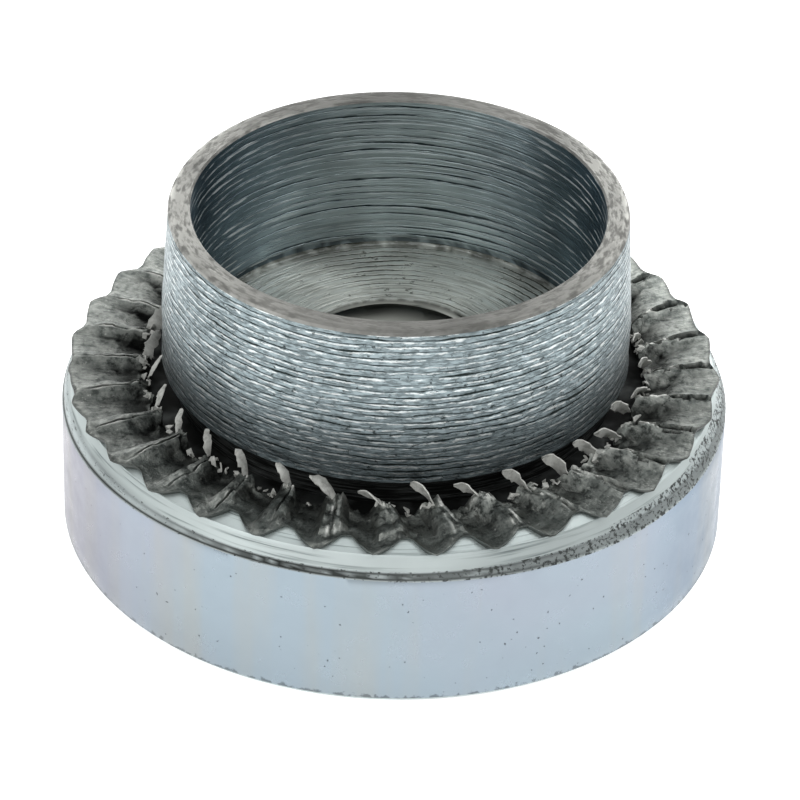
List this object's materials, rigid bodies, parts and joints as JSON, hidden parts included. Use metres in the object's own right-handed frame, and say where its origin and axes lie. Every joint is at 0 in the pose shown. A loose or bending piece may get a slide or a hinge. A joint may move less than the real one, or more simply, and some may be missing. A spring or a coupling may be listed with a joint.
{
  "type": "rivet bush",
  "caption": "Round steel rivet bush: a plain disc head with a tapped hole, a knurled collar of radial serrations, and a thin hollow spigot that is riveted over.",
  "frame": {"origin": "middle of the head's flat underside, on the bush's axis", "axes": "+Z along the axis, from the head towards the spigot's rim"},
  "size_m": [0.015, 0.015, 0.008],
  "materials": {
    "bright_zinc_steel": "free-cutting steel, turned and knurled, thin bright zinc plate"
  },
  "bodies": {
    "root": {"rivet_bush": "bright_zinc_steel"}
  },
  "joints": []
}
